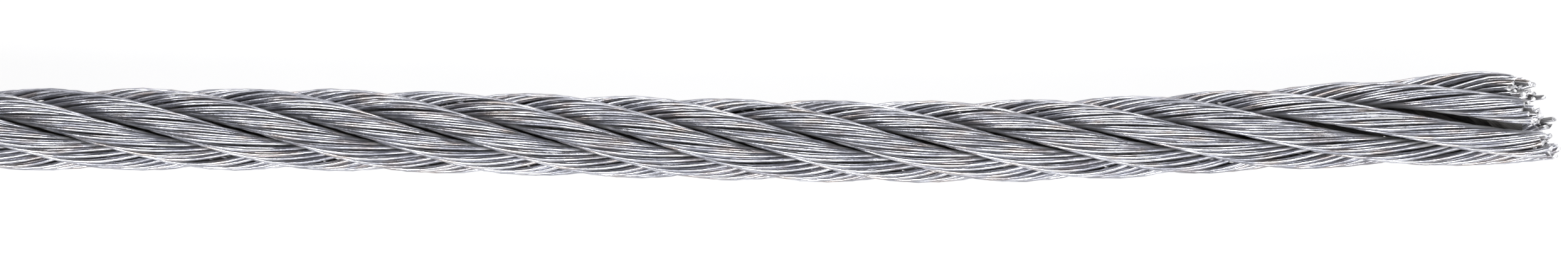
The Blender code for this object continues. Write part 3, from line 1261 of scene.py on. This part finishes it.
@dataclass
class CableTie:
    """A nylon tie round the bundle: band with a channel, head with its slot, toothed tail."""

    route: CoilRoute
    index: int
    angles: tuple[float, ...] = (-100.0, 25.0, 160.0)
    width: float = 0.0076
    thick: float = 0.0015
    clearance: float = 0.0005
    band_edge: float = 0.00025
    lip_width: float = 0.0013
    channel_depth: float = 0.00022
    head: tuple[float, float, float] = (0.0055, 0.0100, 0.0090)
    head_sink: float = 0.0008
    head_round: float = 0.0009
    slot_wall: float = 0.0007
    slot_depth: float = 0.0030
    tail_length: float = 0.0036
    tail_root: float = 0.0028
    tail_thick: float = 0.0013
    tail_narrower: float = 0.0006
    tail_out: float = 0.0002
    tail_round: float = 0.0002
    tooth_pitch: float = 0.0011
    tooth_share: float = 0.5
    tooth_height: float = 0.0004
    tooth_narrower: float = 0.0026
    tooth_in: float = 0.0007
    tooth_round: float = 0.0001
    corner_steps: int = 8
    sharp: float = 35.0

    def loop(self, grow: float) -> list[tuple[float, float]]:
        """Rounded rectangle that lies grow outside the bundle, round its middle.

        Args:
            grow: Distance outside the turns.

        Returns:
            Points as outward and upward distances.
        """
        rope = self.route.make.radius
        corner = rope + grow
        across = self.route.columns * rope - rope
        upward = self.route.layers * rope - rope
        quarters = [(across, upward), (-across, upward), (-across, -upward), (across, -upward)]
        found = []
        for quarter, (x, y) in enumerate(quarters):
            for step in range(self.corner_steps + 1):
                angle = math.pi / 2 * (quarter + step / self.corner_steps)
                found.append((x + corner * math.cos(angle), y + corner * math.sin(angle)))
        return found

    def band(self, shape: bmesh.types.BMesh) -> None:
        """Adds the band, with a shallow channel down its outer face.

        Args:
            shape: Mesh under construction, with X outward, Y along the turns and Z up.
        """
        half, edge, lip = self.width / 2, self.band_edge, self.lip_width
        section = [
            (-half, 0.0),
            (half, 0.0),
            (half, self.thick - edge),
            (half - edge, self.thick),
            (half - lip, self.thick),
            (half - lip - edge, self.thick - self.channel_depth),
            (-half + lip + edge, self.thick - self.channel_depth),
            (-half + lip, self.thick),
            (-half + edge, self.thick),
            (-half, self.thick - edge),
        ]
        loops = {depth: self.loop(self.clearance + depth) for _, depth in section}
        rings = []
        for step in range(len(loops[0.0])):
            ring = []
            for along, depth in section:
                x, z = loops[depth][step]
                ring.append(shape.verts.new((x, along, z)))
            rings.append(ring)
        for step, ring in enumerate(rings):
            ahead = rings[(step + 1) % len(rings)]
            for i in range(len(ring)):
                j = (i + 1) % len(ring)
                shape.faces.new((ring[i], ring[j], ahead[j], ahead[i]))

    def block(
        self, shape: bmesh.types.BMesh, size: tuple[float, ...], at: tuple[float, ...], soft: float
    ) -> list[bmesh.types.BMFace]:
        """Adds a block with rounded edges.

        Args:
            shape: Mesh under construction.
            size: Its size along each axis.
            at: Its middle.
            soft: Radius of its edges.

        Returns:
            Its faces.
        """
        before = set(shape.faces)
        made = bmesh.ops.create_cube(shape, size=1.0)["verts"]
        placed = Matrix.Translation(at) @ Matrix.Diagonal((*size, 1.0))
        bmesh.ops.transform(shape, matrix=placed, verts=made)
        edges = list(dict.fromkeys(edge for vert in made for edge in vert.link_edges))
        bmesh.ops.bevel(shape, geom=edges, offset=soft, segments=3, profile=0.5, affect="EDGES")
        return [face for face in shape.faces if face not in before]

    def add_head(self, shape: bmesh.types.BMesh, middle: float) -> None:
        """Adds the head, with its slot open at the top.

        Args:
            shape: Mesh under construction.
            middle: How far outward the head's middle lies.
        """
        faces = self.block(shape, self.head, (middle, 0.0, 0.0), self.head_round)
        top = max(faces, key=lambda face: face.calc_center_median().z)
        bmesh.ops.inset_individual(shape, faces=[top], thickness=self.slot_wall)
        down = bmesh.ops.extrude_discrete_faces(shape, faces=[top])["faces"]
        bmesh.ops.translate(shape, vec=(0, 0, -self.slot_depth), verts=list(down[0].verts))

    def add_tail(self, shape: bmesh.types.BMesh, middle: float) -> None:
        """Adds the trimmed tail that stands out of the slot, with its teeth.

        Args:
            shape: Mesh under construction.
            middle: How far outward the head's middle lies.
        """
        head_top = self.head[2] / 2
        x = middle + self.tail_out
        top = head_top + self.tail_length
        bottom = head_top - self.tail_root
        tail = (self.tail_thick, self.width - self.tail_narrower, top - bottom)
        self.block(shape, tail, (x, 0.0, (top + bottom) / 2), self.tail_round)
        tooth = (
            self.tooth_height,
            self.width - self.tooth_narrower,
            self.tooth_pitch * self.tooth_share,
        )
        for number in range(int(self.tail_length / self.tooth_pitch)):
            height = head_top + self.tooth_pitch * (number + 0.5)
            self.block(shape, tooth, (x - self.tooth_in, 0.0, height), self.tooth_round)

    def build(self, finishes: Finishes) -> bpy.types.Object:
        """The tie, in place.

        Args:
            finishes: The materials.

        Returns:
            The tie.
        """
        shape = bmesh.new()
        self.band(shape)
        outer = self.route.columns * self.route.make.radius + self.clearance + self.thick
        middle = outer - self.head_sink + self.head[0] / 2
        self.add_head(shape, middle)
        self.add_tail(shape, middle)
        bmesh.ops.recalc_face_normals(shape, faces=shape.faces)
        angle = math.radians(self.angles[self.index])
        height = self.route.base + self.route.layers * self.route.make.radius
        out = Matrix.Translation((self.route.turn_diameter / 2, 0, height))
        axis = Matrix.Translation((self.route.axis.x, self.route.axis.y, 0))
        shape.transform(axis @ Matrix.Rotation(angle, 4, "Z") @ out)
        name = f"tie_{self.index + 1}"
        mesh = bpy.data.meshes.new(name)
        shape.to_mesh(mesh)
        shape.free()
        mesh.shade_smooth()
        mesh.set_sharp_from_angle(angle=math.radians(self.sharp))
        return place_piece(name, mesh, [finishes.nylon], "cable_" + name)


@dataclass(frozen=True)
class SoftBox:
    """A rectangular lamp that faces the middle of the view, placed from there."""

    name: str
    place: tuple[float, float, float]
    size: tuple[float, float]
    power: float


@dataclass
class Studio:
    """Camera above the free end, pale floor and soft boxes.

    The walls' stops pair the upward part of a direction with a brightness, and those of the near
    side pair its part towards the near side with a share.
    """

    route: FreeRoute
    frame_start: float = 0.0914
    frame_width: float = 0.190
    middle_px: float = 206.5
    distance: float = 0.80
    nearest: float = 0.01
    sensor_mm: float = 36.0
    floor_size: float = 3.0
    floor_colour: Colour = rgba(0.12, 0.12, 0.12)
    floor_roughness: float = 0.9
    floor_glow: Colour = rgba(0.93, 0.93, 0.935)
    glow_strength: float = 0.98
    near_way: tuple[float, float, float] = (0.45, -0.89, 0.0)
    near_side: Stops = ((0.0, 0.0), (0.60, 1.0))
    near_wall: Stops = ((0.0, 0.80), (0.05, 0.85), (0.22, 0.85), (0.34, 0.06), (0.66, 0.03), (0.78, 0.15))
    far_wall: Stops = ((0.0, 0.62), (0.10, 0.55), (0.34, 0.40), (0.44, 0.03), (0.66, 0.03), (0.78, 0.15))
    boxes: tuple[SoftBox, ...] = (
        SoftBox("near_box", (0.12, -0.55, 0.60), (1.4, 0.34), 10.0),
        SoftBox("far_box", (-0.10, 0.74, 0.46), (1.3, 0.28), 5.5),
        SoftBox("right_box", (0.75, -0.10, 0.38), (0.4, 0.3), 3.0),
    )

    @property
    def middle_x(self) -> float:
        """Where the middle of the view lies along the free end."""
        return self.route.exit.x + self.frame_start + self.frame_width / 2

    def add_camera(self) -> None:
        """Camera that looks straight down and frames the free end as the photograph does."""
        pixel = self.frame_width / IMAGE_WIDTH_PX
        y = self.route.exit.y + (self.middle_px - IMAGE_HEIGHT_PX / 2) * pixel
        data = bpy.data.cameras.new("camera")
        data.sensor_width = self.sensor_mm
        data.lens = self.sensor_mm * self.distance / self.frame_width
        data.clip_start = self.nearest
        camera = bpy.data.objects.new("camera", data)
        camera.location = (self.middle_x, y, self.route.make.radius + self.distance)
        bpy.context.scene.collection.objects.link(camera)
        bpy.context.scene.camera = camera

    def add_floor(self) -> None:
        """Pale seamless floor."""
        recipe = Recipe(bpy.data.materials.new("pale_floor"))
        material = recipe.finished(
            {
                "Base Color": self.floor_colour,
                "Roughness": self.floor_roughness,
                "Emission Color": self.floor_glow,
                "Emission Strength": self.glow_strength,
            }
        )
        mesh = bpy.data.meshes.new("floor")
        shape = bmesh.new()
        bmesh.ops.create_grid(shape, x_segments=1, y_segments=1, size=self.floor_size)
        shape.to_mesh(mesh)
        shape.free()
        mesh.materials.append(material)
        floor = bpy.data.objects.new("floor", mesh)
        bpy.context.scene.collection.objects.link(floor)

    def add_lights(self) -> None:
        """Soft boxes on three sides, and the room round them."""
        focus = Vector((self.middle_x, self.route.exit.y, 0))
        for box in self.boxes:
            data = bpy.data.lights.new(box.name, "AREA")
            data.shape = "RECTANGLE"
            data.size, data.size_y = box.size
            data.energy = box.power
            lamp = bpy.data.objects.new(box.name, data)
            lamp.location = focus + Vector(box.place)
            lamp.rotation_euler = (-Vector(box.place)).to_track_quat("-Z", "Y").to_euler()
            bpy.context.scene.collection.objects.link(lamp)
        bpy.context.scene.world = self.room()
        bpy.context.scene.view_settings.view_transform = "Standard"

    def room(self) -> bpy.types.World:
        """The room as the light that comes from it.

        Returns:
            Pale low walls, brighter on the near side, under a dim ceiling.
        """
        world = bpy.data.worlds.new("room")
        recipe = Recipe(world)
        way = recipe.node("ShaderNodeTexCoord", {}, {}, "Generated")
        height = recipe.node("ShaderNodeSeparateXYZ", {}, {0: way}, "Z")
        near = recipe.node(
            "ShaderNodeVectorMath",
            {"operation": "DOT_PRODUCT"},
            {0: way, 1: self.near_way},
            "Value",
        )
        near_wall = recipe.ramp(height, self.near_wall)
        far_wall = recipe.ramp(height, self.far_wall)
        walls = recipe.mix(recipe.ramp(near, self.near_side), far_wall, near_wall)
        surface = recipe.node("ShaderNodeBackground", {}, {"Color": walls, "Strength": 1.0})
        recipe.close(surface, "ShaderNodeOutputWorld")
        return world


def main() -> None:
    """Builds the dressed object and the studio round it."""
    logging.basicConfig(level=logging.INFO, format="%(name)s: %(message)s")
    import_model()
    low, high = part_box("coil_turns")
    axis = Vector(((low.x + high.x) / 2, (low.y + high.y) / 2, 0.0))
    make = RopeMake()
    coil_route = CoilRoute(axis, make)
    outer = coil_route.turn_diameter / 2 + (coil_route.columns - 1) / 2 * make.diameter
    leaves = Vector((axis.x, axis.y - outer, coil_route.base + make.radius))
    free_route = FreeRoute(leaves, make, coil_base=coil_route.base)
    studio = Studio(free_route)
    studio.add_camera()
    finishes = Finishes(
        wire=GalvanisedWire().material(),
        sheared=ShearedSteel().material(),
        fibre=GreasedFibre().material(),
        nylon=BlackNylon().material(),
    )
    FreeEnd(free_route, make).build(finishes)
    CoilTurns(coil_route, make).build(finishes)
    for index in range(len(CableTie.angles)):
        CableTie(coil_route, index).build(finishes)
    studio.add_floor()
    studio.add_lights()


if __name__ == "__main__":
    main()
